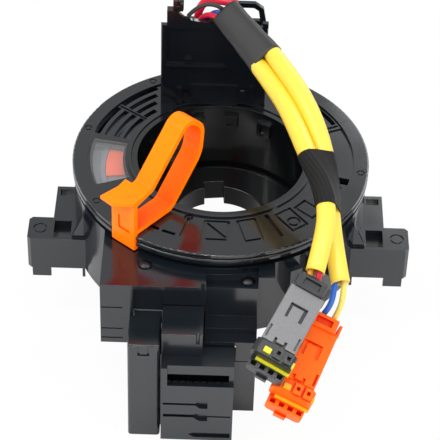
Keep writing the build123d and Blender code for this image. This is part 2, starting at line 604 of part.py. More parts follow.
def rotor_hub():
    """Hub tube under the disc, with a seat for the cam at its foot and snap windows inside."""
    outer = WELL_R - HUB_FIT
    inner = outer - HUB_WALL
    under = DISC_UNDER
    shape = ring(outer, inner, HUB_Z0, TOP_Z - 0.5)
    shape += ring(outer + 2.6, inner, under - 1.5, under)
    shape += ring(inner + 0.5, CAM_R + CAM_FIT, HUB_Z0, HUB_Z0 + HUB_FLANGE_T)
    for angle in (108.0, 84.0, 58.0):
        shape += turned(block(inner - 1.4, inner + 0.4, -2.6, 2.6, 26.0, 32.0), angle)
        shape -= turned(block(inner - 1.6, inner - 0.5, -1.4, 1.4, 27.2, 30.8), angle)
    for angle in (-63.0, -30.0, 200.0, 150.0):
        shape += turned(block(inner - 0.9, inner + 0.4, -0.8, 0.8, 12.0, 30.0), angle)
    return shape


def cancel_cam():
    """Ring round the shaft passage, with two lugs that cancel the turn signal."""
    seat = HUB_Z0 + HUB_FLANGE_T
    top = seat + CAM_FLANGE_T
    shape = ring(CAM_R, BORE_R, 0, top) + ring(CAM_FLANGE_R, BORE_R, seat, top)
    shape -= turned(block(BORE_R - 2, BORE_R + KEY_DEPTH, -KEY_W / 2, KEY_W / 2, -1, 9), KEY_ANGLE)
    for angle in (0.0, 180.0):
        shape += sector(CAM_R - 1.3, BORE_R + 2.6, angle - 12, angle + 12, -2.0, 1.0)
    return shape


def tower_insert():
    """Connector body in the tower: lead exit on the left, wheel-side socket on the right."""
    gap = TOWER_WALL + INSERT_GAP
    x0, x1 = TOWER_X0 + TOWER_STEP_L + gap, TOWER_X1 - TOWER_STEP_R - gap
    y0, y1 = TOWER_Y0 + gap, TOWER_Y1 - gap
    shape = block(x0, x1, y0, y1, TOP_Z + 2, INSERT_TOP)
    shape -= block(0.0, x1 - 1.4, y0 + 1.4, y1 - 1.4, SOCKET_FLOOR, INSERT_TOP)
    return shape - block(x0 + 1.4, -1.4, y0 + 1.2, y1 - 1.2, INSERT_TOP - 2.0, INSERT_TOP)


def tower_pins():
    """Terminal pins of the wheel-side socket."""
    pins = []
    front = TOWER_Y0 + TOWER_WALL + INSERT_GAP + 1.4
    back = TOWER_Y1 - TOWER_WALL - INSERT_GAP - 1.4
    for share in (0.2, 0.7):
        row_y = front + (back - front) * share
        for step in range(4):
            x = 2.0 + 2.4 * step
            pins.append(block(x, x + PIN_W, row_y, row_y + PIN_W, SOCKET_FLOOR, SOCKET_FLOOR + 8))
    return Compound(children=pins)


# ---- cable chamber ----
def roller_angle(index):
    """Rollers are evenly spaced, with the first one in the ribbon's U-turn."""
    return 20.0 + 360.0 / ROLLER_COUNT * index


def carrier_ring():
    """Flat ring with a post for each roller and a raised band under the window."""
    shape = ring(CARRIER_R1, CARRIER_R0, CARRIER_Z0, CARRIER_Z0 + CARRIER_T)
    rib = CARRIER_RIB_W / 2
    top = CARRIER_Z0 + CARRIER_T
    shape += ring(CARRIER_RIB_R + rib, CARRIER_RIB_R - rib, top, top + 1.0)
    for index in range(ROLLER_COUNT):
        x, y = polar(ROLLER_PITCH_R, roller_angle(index))
        height = CARRIER_Z0 - ROLLER_Z0
        shape += Pos(x, y, ROLLER_Z0 + height / 2) * Cylinder(POST_R, height)
    return shape


def neutral_marker():
    """Coloured patch on the carrier that shows in the window when the cable is centred."""
    top = CARRIER_Z0 + CARRIER_T
    return sector(MARKER_R1, MARKER_R0, MARKER_A0, MARKER_A1, top, top + 0.8)


def roller(index):
    """Roller that runs on a carrier post."""
    x, y = polar(ROLLER_PITCH_R, roller_angle(index))
    height = ROLLER_Z1 - ROLLER_Z0
    shape = Cylinder(ROLLER_R, height) - Cylinder(POST_R + ROLLER_FIT, height)
    return Pos(x, y, ROLLER_Z0 + height / 2) * shape


def flat_cable():
    """Ribbon: an outer turn, a U-turn round the first roller and an inner turn back."""
    outer = CHAMBER_R - RIBBON_GAP - RIBBON_T / 2
    inner = WELL_R - HUB_FIT + RIBBON_GAP + RIBBON_T / 2
    middle = (outer + inner) / 2
    bend = (outer - inner) / 2
    turn_at = roller_angle(0)
    sweep_a = 300.0
    half = RIBBON_T / 2
    shape = sector(outer + half, outer - half, turn_at - sweep_a, turn_at, RIBBON_Z0, RIBBON_Z1)
    shape += sector(inner + half, inner - half, turn_at - sweep_a, turn_at, RIBBON_Z0, RIBBON_Z1)
    x, y = polar(middle, turn_at)
    u_turn = sector(bend + half, bend - half, turn_at, turn_at + 180.0, RIBBON_Z0, RIBBON_Z1)
    return shape + Pos(x, y, 0) * u_turn


# ---- transport clip ----
def lock_clip():
    """Strap bent into a finger loop, with a foot through the rim notch and a push lip."""
    seat = TOP_Z + CLIP_LIFT
    half = CLIP_T / 2
    bends = [
        (half, DECK_Z + FOOT_GAP), (half, LIP_Z - 1.5), (9.1, 51.1), (26.8, 69.9), (34.2, 64.0),
        (33.0, 52.6), (18.6, seat + half), (CLIP_T + 0.6, seat + half),
    ]
    points = [Vector(x, CLIP_W / 2, z) for x, z in bends]
    path = FilletPolyline(*points, radius=(1.0, 3.0, 4.2, 7.0, 10.0, 3.0))
    section = Plane(origin=path @ 0, x_dir=(0, 1, 0), z_dir=path % 0) * Rectangle(CLIP_W, CLIP_T)
    strap = sweep(section, path=path)
    strap += block(half, CLIP_T + 2, 0, CLIP_W, seat, seat + CLIP_T)
    strap -= block(CLIP_T + 5, 40, LOOP_W, CLIP_W + 1, TOP_Z, TOP_Z + 40)
    lip = Polyline((6.0, 0), (0, 0), (-4.6, 5.4), (-4.3, CLIP_W + 0.9), (6.0, CLIP_W - 0.4), close=True)
    strap += Pos(0, 0, LIP_Z - LIP_T) * extrude(make_face(lip), amount=LIP_T)
    strap -= block(-0.1, 0.4, 2.2, 7.2, 36.6, 42.4)
    return clip_frame() * strap


# ---- harness ----
def vector_points(route):
    return [Vector(*p) for p in route]


def sleeve(name, route):
    """Yellow sleeve over one pair of wires."""
    return cable(name, route, SLEEVE_D)


def tape_wrap():
    """Tape round both sleeves below the middle of the harness, where one passes behind the other."""
    first = len(SLEEVE_A_ROUTE) // 2
    route_a = vector_points(SLEEVE_A_ROUTE)[first:first + 3]
    route_b = vector_points(SLEEVE_B_ROUTE)[first:first + 3]
    middles = [(a + b) / 2 for a, b in zip(route_a, route_b)]
    ways = [middles[1] - middles[0], middles[2] - middles[0], middles[2] - middles[1]]
    radius = SLEEVE_D / 2 + WRAP_T
    sections = []
    for point_a, point_b, middle, way in zip(route_a, route_b, middles, ways):
        along = way.normalized()
        spread = point_b - point_a
        spread = spread - along * spread.dot(along)
        plane = Plane(origin=middle, x_dir=spread.normalized(), z_dir=along)
        sections.append(plane * SlotCenterToCenter(spread.length, 2 * radius))
    return loft(sections)


def band():
    """Flattened black sleeve over both yellow sleeves at the tower's mouth."""
    along = (BAND_END - BAND_START).normalized()
    across = BAND_ACROSS - along * BAND_ACROSS.dot(along)
    plane = Plane(origin=BAND_START, x_dir=across.normalized(), z_dir=along)
    section = SlotOverall(BAND_W, BAND_H)
    shape = extrude(plane * section, amount=(BAND_END - BAND_START).length)
    half = HOOD_T / 2
    outer = ThreePointArc((-13.0 - half, 72.6), (-6.3, 77.6 + half), (0.6 + half, 74.5))
    inner = ThreePointArc((-13.0 + half, 72.6), (-6.3, 77.6 - half), (0.6 - half, 74.5))
    edge = outer + inner + Line(outer @ 0, inner @ 0) + Line(outer @ 1, inner @ 1)
    return shape + prism_y(edge, TOWER_Y0 + TOWER_WALL, TOWER_Y0 + TOWER_WALL + HOOD_W)


def lead(name, route):
    """One insulated wire."""
    return cable(name, route, LEAD_D)


def plug_frame(back, forward, across):
    """Frame of a plug: X across, Y towards its wires, Z out of its top plate."""
    return Plane(origin=back, x_dir=across, z_dir=across.cross(forward * -1)).location


def plug_shell(frame):
    """Outer shell of a plug: a channel whose top plate carries the latch tongue."""
    half = PLUG_W / 2
    shape = block(-half, half, -PLUG_L, 0, -PLUG_H, 0)
    shape = fillet(shape.edges().filter_by(Axis.Y), 0.5)
    shape -= block(PLUG_T - half, half - PLUG_T, -PLUG_L, 0, -PLUG_H, -PLUG_T)
    shape -= block(-3.0, 3.0, -10.8, -5.4, -PLUG_T, 0) - block(-2.0, 1.8, -10.8, -6.4, -PLUG_T, 0)
    shape -= block(-2.2, 2.2, -PLUG_L, -18.4, -PLUG_T, 0) - block(-1.3, 1.3, -19.7, -18.4, -PLUG_T, 0)
    for side in (-1, 1):
        shape -= block(side * (half - 0.6), side * (half - 1.3), -19.6, -15.2, -1.0, 0.1)
        shape -= block(side * half, side * (half - 0.6), -12.0, -3.0, -6.4, -5.0)
    return frame * shape


def plug_body(frame):
    """Body in the shell, with the keyed nose and the lower row of cavities."""
    half = PLUG_W / 2 - PLUG_T - PLUG_FIT
    shape = block(-half, half, -PLUG_L, 0, -PLUG_H, -PLUG_T - PLUG_FIT)
    nose = block(-6.9, 7.3, -25.2, -PLUG_L, -6.6, -0.8)
    shape += fillet(nose.edges().filter_by(Axis.Y), 1.9)
    for x in (0.2, 3.8):
        shape += block(x - 0.3, x + 2.5, -24.7, -21.0, -2.0, 0.3)
        shape -= block(x + 0.5, x + 1.7, -23.5, -22.1, -1.6, 0.3)
    tier = block(-5.8, 6.6, -28.6, -PLUG_L, -10.8, -6.6)
    shape += chamfer(tier.edges().filter_by(Axis.Y).group_by(Axis.Z)[0], 1.0)
    shape += block(-2.0, 2.0, -29.4, -PLUG_L, -11.8, -9.8)
    for step in range(4):
        x = -4.2 + 3.1 * step
        shape -= block(x - 0.9, x + 0.9, -27.9, -26.3, -9.4, -6.6)
    return frame * (shape - retainer_local(RETAINER_GAP))


def retainer_local(gap):
    """Lock of a plug with two posts, grown by a gap when it is used to cut its seat."""
    shape = block(-4.4 - gap, 7.5 + gap, -26.0 - gap, -22.6 + gap, -6.6 - gap, -5.4 + gap)
    shape += block(-3.5 - gap, -1.0 + gap, -24.4 - gap, -22.6 + gap, -6.0, 0.2 + gap)
    return shape + block(6.3 - gap, 7.5 + gap, -24.6 - gap, -22.6 + gap, -6.0, -1.4 + gap)


def plug_retainer(frame):
    return frame * retainer_local(0)


def plug_cover(frame):
    """Rear cover of a plug: a frame over the wire entries with two side latches."""
    shape = block(-4.6, 4.6, 0, 5.4, -8.0, 1.2)
    shape = chamfer(shape.edges().filter_by(Axis.X).group_by(Axis.Y)[-1].group_by(Axis.Z)[-1], 0.8)
    shape -= block(-2.8, 2.8, 1.4, 3.8, 0.0, 1.2)
    for side in (-1, 1):
        shape += block(side * 4.6, side * 6.2, 0.0, 4.6, -6.6, -0.4)
        shape -= block(side * 4.6, side * 5.2, 1.2, 4.6, -6.6, -0.4)
    return frame * shape


def wire_end(frame, x, depth):
    """Point inside a plug's rear cover where a wire is gripped."""
    point = frame * Pos(x, 5.4 - depth, -3.4)
    return tuple(point.position)


GREY = plug_frame(GREY_BACK, GREY_FORWARD, GREY_ACROSS)
ORANGE = plug_frame(ORANGE_BACK, ORANGE_FORWARD, ORANGE_ACROSS)


def inside_sleeve(route, sideways):
    """Point just inside the free end of a sleeve, moved across it."""
    last, before = Vector(*route[-1]), Vector(*route[-2])
    along = (last - before).normalized()
    return tuple(last - along * WIRE_GRIP + Vector(*sideways))


LEADS = {
    "red_lead": [inside_sleeve(SLEEVE_A_ROUTE, (1.4, -0.3, 0.3)), wire_end(GREY, 1.6, WIRE_GRIP)],
    "amber_lead": [inside_sleeve(SLEEVE_A_ROUTE, (-1.4, 0.3, 0.0)), wire_end(GREY, -1.6, WIRE_GRIP)],
    "blue_lead": [
        inside_sleeve(SLEEVE_B_ROUTE, (-1.4, 0.0, 0.0)),
        (37.4, -72.9, 35.4),
        wire_end(ORANGE, -1.8, WIRE_GRIP),
    ],
    "lemon_lead": [
        inside_sleeve(SLEEVE_B_ROUTE, (1.5, 0.0, 0.0)),
        (40.7, -73.0, 35.0),
        wire_end(ORANGE, 2.4, WIRE_GRIP),
    ],
}

# place in the tower's insert (x, y), height of the bend, place across the sleeve's mouth, diameter
TOWER_WIRES = {
    "tower_red": (-10.2, 34.6, 72.4, -3.5, LEAD_D),
    "tower_blue": (-7.6, 35.6, 72.6, -1.2, LEAD_D),
    "tower_yellow": (-5.2, 36.8, 72.6, 1.1, LEAD_D),
    "feed_wire": (-9.6, 38.2, 76.4, 4.7, FEED_D),
}


def tower_wire(name, x, y, top, place, diameter):
    """Wire that rises out of the tower's insert and turns over into the black sleeve."""
    rise = INSERT_TOP - 2.0
    along = (BAND_END - BAND_START).normalized()
    end = BAND_START + BAND_ACROSS * place + along * WIRE_GRIP
    route = [(x, y, rise), (x, y, top - 5), (x + 3.2, y - 0.4, top), (end.X, end.Y, end.Z)]
    return cable(name, route, diameter)


PARTS = {
    "stator_case": stator_case,
    "case_screws": case_screws,
    "back_cover": back_cover,
    "connector_housing": connector_housing,
    "housing_cap": housing_cap,
    "socket_terminals": socket_terminals,
    "lead_block": lead_block,
    "rotor_disc": rotor_disc,
    "rotor_hub": rotor_hub,
    "cancel_cam": cancel_cam,
    "window_lens": window_lens,
    "tower_insert": tower_insert,
    "tower_pins": tower_pins,
    "carrier_ring": carrier_ring,
    "neutral_marker": neutral_marker,
    "flat_cable": flat_cable,
    "lock_clip": lock_clip,
    "tape_wrap": tape_wrap,
    "black_sleeve": band,
}

shapes = {name: make() for name, make in PARTS.items()}
for index in range(ROLLER_COUNT):
    shapes[f"roller_{index + 1}"] = roller(index)
shapes["yellow_sleeve_a"] = sleeve("yellow_sleeve_a", SLEEVE_A_ROUTE)
shapes["yellow_sleeve_b"] = sleeve("yellow_sleeve_b", SLEEVE_B_ROUTE)
for name, route in LEADS.items():
    shapes[name] = lead(name, route)
for name, wire in TOWER_WIRES.items():
    shapes[name] = tower_wire(name, *wire)
for colour, frame in (("grey", GREY), ("orange", ORANGE)):
    shapes[f"{colour}_plug"] = plug_body(frame)
    shapes[f"{colour}_plug_shell"] = plug_shell(frame)
    shapes[f"{colour}_plug_cover"] = plug_cover(frame)
    shapes[f"{colour}_plug_lock"] = plug_retainer(frame)

os.makedirs("parts", exist_ok=True)
for name, shape in shapes.items():
    export_step(shape, f"parts/{name}.step")
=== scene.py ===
# %% [markdown]
# # Steering clock spring
# A clock spring carries the wires of the horn and the airbag from the turning wheel to the
# fixed column: a ribbon inside its drum winds and unwinds as the wheel turns. This lesson
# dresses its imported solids. It could model the part afresh, but the solids already fix every
# size and place, so it only adds what they lack: finishes, soft edges, sleeves, tape and light.

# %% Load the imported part
import json
import math

import bmesh
import bpy
import numpy as np
from mathutils import Matrix, Vector


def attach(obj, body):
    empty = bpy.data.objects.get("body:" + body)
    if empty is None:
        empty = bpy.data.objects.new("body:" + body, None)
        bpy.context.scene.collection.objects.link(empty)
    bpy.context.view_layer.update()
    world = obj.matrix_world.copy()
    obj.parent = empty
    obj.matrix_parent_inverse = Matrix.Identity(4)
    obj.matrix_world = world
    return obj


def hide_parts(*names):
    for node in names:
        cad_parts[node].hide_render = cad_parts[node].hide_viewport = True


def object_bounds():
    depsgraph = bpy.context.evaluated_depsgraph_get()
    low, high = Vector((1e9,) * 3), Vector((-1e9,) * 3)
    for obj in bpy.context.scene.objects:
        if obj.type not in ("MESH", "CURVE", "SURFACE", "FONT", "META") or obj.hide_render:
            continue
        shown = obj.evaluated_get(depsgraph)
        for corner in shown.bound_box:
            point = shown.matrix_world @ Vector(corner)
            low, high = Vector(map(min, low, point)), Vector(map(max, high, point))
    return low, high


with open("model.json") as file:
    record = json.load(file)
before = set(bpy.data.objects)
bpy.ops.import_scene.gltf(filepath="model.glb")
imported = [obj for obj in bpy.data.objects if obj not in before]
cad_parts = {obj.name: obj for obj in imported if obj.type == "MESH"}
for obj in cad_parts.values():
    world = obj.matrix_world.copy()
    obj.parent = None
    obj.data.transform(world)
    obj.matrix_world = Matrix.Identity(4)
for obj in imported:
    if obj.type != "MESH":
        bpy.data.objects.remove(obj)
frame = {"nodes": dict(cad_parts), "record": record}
CAD_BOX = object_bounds()
MM = 0.001
print(len(frame["nodes"]), "nodes, box in mm:", np.round(np.array(CAD_BOX) / MM, 1).tolist())

# %% [markdown]
# ## The camera
# The part is seen from in front and well above, through a long lens, so that the ellipses of
# the rotor stay nearly parallel. A camera can be dragged into place by eye or tracked to an
# empty. Here its matrix is worked out from a place, an elevation and a small roll, because
# that gives the same view on each run, and its focal length follows from the scale wanted.

# %% Camera
CAMERA_AIM = Vector((0.0, 0.0, 36.0)) * MM
CAMERA_PLACE = CAMERA_AIM + Vector((0.4, -526.8, 430.6)) * MM
ELEVATION = math.radians(41.155)
ROLL = math.radians(1.83)
FOCAL_PX = 1937.0
FRAME_PX = 440
SENSOR_MM = 36.0


def put(name, data):
    """Object for a mesh, a curve, a lamp or a camera, linked at the origin and unturned."""
    thing = bpy.data.objects.new(name, data)
    bpy.context.collection.objects.link(thing)
    return thing


def camera_matrix(place, elevation, roll):
    """Right, up and backward axes: level ones turned up by the elevation, then rolled."""
    level_up = Vector((0, math.sin(elevation), math.cos(elevation)))
    level_right = Vector((1, 0, 0))
    right = level_right * math.cos(roll) + level_up * math.sin(roll)
    up = level_up * math.cos(roll) - level_right * math.sin(roll)
    back = right.cross(up)
    turn = Matrix((right, up, back)).transposed().to_4x4()
    return Matrix.Translation(place) @ turn


camera_data = bpy.data.cameras.new("camera")
camera_data.sensor_width = SENSOR_MM
camera_data.lens = SENSOR_MM * FOCAL_PX / FRAME_PX
camera_data.clip_start = 0.01
camera_data.clip_end = 50.0
camera = put("camera", camera_data)
camera.matrix_world = camera_matrix(CAMERA_PLACE, ELEVATION, ROLL)
bpy.context.scene.camera = camera
print(f"lens {camera_data.lens:.1f} mm, {(CAMERA_PLACE - CAMERA_AIM).length:.3f} m away")

# %% [markdown]
# ## Colours
# A colour is easiest to name as the hex value that a painter picks from a screen, but a
# shader wants linear light. The values could be typed in linear form, where nobody can read
# them, so one function turns every hex value of this lesson instead.

# %% Colour
def linear(hex_colour, alpha=1.0):
    """sRGB hex to linear: c / 12.92 up to 0.04045, otherwise ((c + 0.055) / 1.055) ** 2.4."""
    srgb = np.array([int(hex_colour[i:i + 2], 16) for i in (1, 3, 5)]) / 255
    light = np.where(srgb <= 0.04045, srgb / 12.92, ((srgb + 0.055) / 1.055) ** 2.4)
    return (*light.tolist(), alpha)


print("half grey on screen is", round(linear("#808080")[0], 3), "of white in linear light")

# %% [markdown]
# ## Nodes
# A finish is a small graph: a pattern, what it drives, a shader and an output. It can be
# wired by hand in the Shader Editor. In a script, one function that adds a node and fills
# its inputs, each with a plain value or with another node's output, keeps a graph readable.

# %% Node and material helpers
def add(tree, kind, inputs=None, **settings):
    """Adds a node; each input, named or numbered, is a value or another node's output."""
    node = tree.nodes.new(kind)
    for name, value in settings.items():
        setattr(node, name, value)
    for socket, source in (inputs or {}).items():
        if isinstance(source, bpy.types.NodeSocket):
            tree.links.new(source, node.inputs[socket])
        else:
            node.inputs[socket].default_value = source
    return node


def new_material(name):
    """Material with an empty node tree."""
    material = bpy.data.materials.new(name)
    material.use_nodes = True
    material.node_tree.nodes.clear()
    return material, material.node_tree


print("helpers:", add.__name__, new_material.__name__)

# %% [markdown]
# ## Colour that follows the form
# Coloured plastic isn't one even colour. Glass in a filled one shows as faint flecks, and a
# bright thin one looks redder in its hollows, where light goes through it more than once; that
# redness is light, so here it is painted shade. Both could be painted on by hand. A fleck belongs
# to the grain, so the grain's own pattern can lighten and darken the colour, and ambient occlusion
# measures how hollow a place is, so that the base colour is painted redder there.

# %% Base colour
# Noise crowds round a half, so these limits stretch it before it is used.
FLECK_NOISE = (0.35, 0.65)
# Share of open sky over a point, for the painted shade in hollows: below the first it counts as deep,
# past the second as open.
DEEP_SKY, OPEN_SKY = 0.5, 0.95
# A Mix node has sockets for each kind of data; these are the ones for colours.
MIX_FACTOR, MIX_FIRST, MIX_SECOND, MIX_RESULT = 0, 6, 7, 2


def flecked(tree, base, grain, fleck):
    """Colour times a tone that runs from 1 - fleck to 1 + fleck with the grain."""
    tone = add(
        tree, "ShaderNodeMapRange",
        {
            "Value": grain, "From Min": FLECK_NOISE[0], "From Max": FLECK_NOISE[1],
            "To Min": 1 - fleck, "To Max": 1 + fleck,
        },
    )
    mixed = add(
        tree, "ShaderNodeMix", {MIX_FACTOR: 1.0, MIX_FIRST: base, MIX_SECOND: tone.outputs[0]},
        data_type="RGBA", blend_type="MULTIPLY",
    )
    return mixed.outputs[MIX_RESULT]


def painted_hollow_shade(tree, base, hollow_shade_colour, reach_mm):
    """Painted shade: fades from the hollow colour to the base as more open sky is seen within the reach.
    """
    sky = add(
        tree, "ShaderNodeAmbientOcclusion", {"Distance": reach_mm * MM}, only_local=True, samples=8,
    )
    share = add(
        tree, "ShaderNodeMapRange",
        {
            "Value": sky.outputs["AO"], "From Min": DEEP_SKY, "From Max": OPEN_SKY,
            "To Min": 0.0, "To Max": 1.0,
        },
    )
    mixed = add(
        tree, "ShaderNodeMix",
        {MIX_FACTOR: share.outputs[0], MIX_FIRST: linear(hollow_shade_colour), MIX_SECOND: base},
        data_type="RGBA", blend_type="MIX",
    )
    return mixed.outputs[MIX_RESULT]


print("helpers:", flecked.__name__, painted_hollow_shade.__name__)

# %% [markdown]
# ## What all the plastics share
# Nearly everything here is plastic: glass-filled polyester for the case, acetal for what
# slides, polypropylene for the clip, nylon for the plugs and vinyl on the wires. A moulding
# copies its steel tool, so what tells pieces apart is colour, gloss and how coarse the tool's
# texture was. Each piece could have a graph of its own. One function for all of them is
# shorter, and it gives each the same two patterns: fine grain as bump, and slow patches of
# gloss as roughness, because no moulding shines evenly. Both read Object coordinates, so the
# grain keeps its real size on every piece.

# %% Plastic
PATCH_MM = 20.0
PATCH_NOISE = (0.3, 0.7)
GLOSS_SPREAD = 0.06


def plastic(
    name, colour, roughness, grain_mm, grain_depth_mm, specular=0.5, fleck=0.0,
    glow_colour="#000000", glow=0.0, hollow_shade_colour=None, hollow_shade_mm=10.0,
):
    """Plastic with grain of one real size; it may have flecks, a painted glow, and painted shade that
    turns it redder in hollows.
    """
    material, tree = new_material(name)
    place = add(tree, "ShaderNodeTexCoord").outputs["Object"]
    patches = add(
        tree, "ShaderNodeTexNoise", {"Vector": place, "Scale": 1 / (PATCH_MM * MM), "Detail": 2.0},
    )
    gloss = add(
        tree, "ShaderNodeMapRange",
        {
            "Value": patches.outputs[0], "From Min": PATCH_NOISE[0], "From Max": PATCH_NOISE[1],
            "To Min": roughness - GLOSS_SPREAD / 2, "To Max": roughness + GLOSS_SPREAD / 2,
        },
    )
    grain = add(
        tree, "ShaderNodeTexNoise", {"Vector": place, "Scale": 1 / (grain_mm * MM), "Detail": 3.0},
    )
    bump = add(
        tree, "ShaderNodeBump",
        {"Height": grain.outputs[0], "Strength": 1.0, "Distance": grain_depth_mm * MM},
    )
    base = linear(colour)
    if fleck:
        base = flecked(tree, base, grain.outputs[0], fleck)
    # Painted shade: in hollows the base colour turns to the given redder colour.
    if hollow_shade_colour:
        base = painted_hollow_shade(tree, base, hollow_shade_colour, hollow_shade_mm)
    # The emission is a painted glow, the same under any lamp, standing in for fluorescence.
    shader = add(
        tree, "ShaderNodeBsdfPrincipled",
        {
            "Base Color": base, "IOR": 1.5, "Specular IOR Level": specular,
            "Roughness": gloss.outputs[0], "Normal": bump.outputs[0],
            "Emission Color": linear(glow_colour), "Emission Strength": glow,
        },
    )
    add(tree, "ShaderNodeOutputMaterial", {"Surface": shader.outputs[0]})
    return material


print("patches of gloss are", PATCH_MM, "mm wide on every plastic")

# %% [markdown]
# ## Black polyester
# Case, rotor and connector housing are glass-filled polyester, coloured right through. Black
# plastic shows hardly any colour of its own, only what it reflects, so it can't be made right
# by its base colour alone. Its specular level sets how grey a flat top turns under the room, and
# its roughness sets how crisp the mirrored clip looks on the deck.

# %% Black polyester
# The case's tool has a fine texture: semi-gloss, with mirrored shapes softly drawn.
polyester_case = plastic("moulded_polyester_black_case", "#141a20", 0.15, 0.5, 0.0025, specular=0.8)
# The rotor's tool was polished: darker in depth, with crisp light along its rim.
polyester_rotor = plastic("moulded_polyester_black_rotor", "#12161b", 0.12, 0.6, 0.002, specular=0.8)
# Connector housings come from a spark-eroded tool and look a little duller.
polyester_housing = plastic("moulded_polyester_black_housing", "#161c22", 0.22, 0.4, 0.005, specular=0.85)
print("black:", polyester_case.name, polyester_rotor.name, polyester_housing.name)

# %% [markdown]
# ## Acetal
# Hub, cam, rollers and carrier slide on their neighbours without grease, which is what acetal
# is for. It could share the black above, but an eye tells its waxy surface from glass-filled
# polyester, so it has values of its own, and is white, grey or salmon where it isn't black.

# %% Acetal
# Black and a little waxy, so that the hub's wall stays deep.
acetal_black = plastic("moulded_acetal_black_cam", "#0e1012", 0.14, 0.5, 0.003, specular=0.7)
# Undyed acetal is a milky white.
acetal_white = plastic("moulded_acetal_white_roller", "#d9d7cf", 0.35, 0.5, 0.003)
# The carrier is a cool grey, seen through the window round the marker.
acetal_grey = plastic("moulded_acetal_grey_carrier", "#747a82", 0.4, 0.5, 0.004)
# The marker is salmon, to be read at a glance when the ribbon is centred.
acetal_salmon = plastic("moulded_acetal_salmon_marker", "#f8683f", 0.4, 0.5, 0.003)
print("acetal:", [m.name for m in (acetal_black, acetal_white, acetal_grey, acetal_salmon)])

# %% [markdown]
# ## Day-glow orange
# The transport clip is taken off by the fitter, so it is dyed to be seen: a fluorescent
# pigment turns blue light into orange, and the plastic looks brighter than a painted one.
# Subsurface scattering could show how light wanders through the strap, slowly and with noise.
# A painted glow, the same under any lamp, and painted shade that turns the base colour redder
# in the hollows give the same impression at little cost.

# %% Orange clip
# A saturated orange; its painted glow keeps it orange in its own shade, and painted shade turns it redder
# in hollows.
polypropylene_orange = plastic(
    "moulded_polypropylene_orange_clip", "#ff8806", 0.26, 0.6, 0.004,
    specular=0.12, glow_colour="#ff3400", glow=0.4, hollow_shade_colour="#ff3000", hollow_shade_mm=30.0,
)
print("clip:", polypropylene_orange.name)

# %% [markdown]
# ## Plug nylon
# The two plugs have coded colours, so that they can't be mixed up. A grey one like this is
# usually nylon with glass in it, grainier than polyester and faintly flecked. Both could be
# one finish in two colours, but only the grey one has flecks, and the orange one takes the
# clip's painted glow and painted shade in hollows, with a shorter reach, as its slots are small.

# %% Plug nylon
# Grey, rough and flecked.
nylon_grey = plastic("moulded_nylon_grey_plug", "#7c7c7e", 0.45, 0.35, 0.012, fleck=0.12)
# Its nose and its rear cover are nearly black.
nylon_dark = plastic("moulded_nylon_dark_plug", "#242528", 0.3, 0.4, 0.008)
# A redder orange than the clip's, with painted red shade deep in its slots and a fainter painted glow.
nylon_orange = plastic(
    "moulded_nylon_orange_plug", "#ff6c14", 0.3, 0.4, 0.006,
    specular=0.2, glow_colour="#ff2800", glow=0.1, hollow_shade_colour="#e02000", hollow_shade_mm=4.0,
)
# Locks are small and bright: yellow in the grey plug, amber in the orange one.
nylon_yellow = plastic("moulded_nylon_yellow_lock", "#e3dc22", 0.3, 0.4, 0.004)
nylon_amber = plastic("moulded_nylon_amber_lock", "#ffb21c", 0.3, 0.4, 0.004)
print("nylon:", [m.name for m in (nylon_grey, nylon_dark, nylon_orange, nylon_yellow, nylon_amber)])

# %% [markdown]
# ## Extruded vinyl
# Sleeves and wires are drawn through a die, so they have no tool grain, only a soft
# unevenness. They could have a graph of their own, but a grain of some millimetres in the
# same function gives that. The shrunk sleeve and the ribbon take the same function.

# %% Wires and sleeves
# The sleeves are satin yellow, with a broad sheen along their tops.
vinyl_yellow = plastic("extruded_vinyl_yellow_sleeve", "#ffdb40", 0.42, 2.5, 0.02, specular=0.95)
# Thin wires are smoother, each in one coded colour.
vinyl_red = plastic("extruded_vinyl_red_wire", "#d8183a", 0.35, 1.5, 0.006)
vinyl_amber = plastic("extruded_vinyl_amber_wire", "#eca428", 0.35, 1.5, 0.006)
vinyl_blue = plastic("extruded_vinyl_blue_wire", "#2a68c8", 0.35, 1.5, 0.006)
vinyl_lemon = plastic("extruded_vinyl_lemon_wire", "#f2dc6a", 0.35, 1.5, 0.006)
# Polyolefin goes satin as it shrinks: a dark grey with no mirrored shapes in it.
shrunk_sleeve = plastic("shrunk_polyolefin_black_sleeve", "#2c2c2d", 0.5, 0.8, 0.01)
# The ribbon is copper foil between two clear films, so it looks brown and glossy.
copper_ribbon = plastic("laminated_copper_ribbon", "#a8702a", 0.3, 3.0, 0.005)
print("sleeves:", vinyl_yellow.name, shrunk_sleeve.name)
print("wires:", [m.name for m in (vinyl_red, vinyl_amber, vinyl_blue, vinyl_lemon, copper_ribbon)])

# %% [markdown]
# ## Cloth tape
# Harness tape is a woven cloth with glue on its back. Its weave could be modelled thread by
# thread, or come as a picture. Two wave patterns that cross, read from the piece's own UV map
# in millimetres, follow every bend and need neither. Its threads are finer than the camera
# can tell apart at this distance, and only take the shine off it, as on the real tape.

# %% Cloth tape
# A Wave texture of scale 1 repeats after this share of a unit.
WAVE_LENGTH = 2 * math.pi / 20


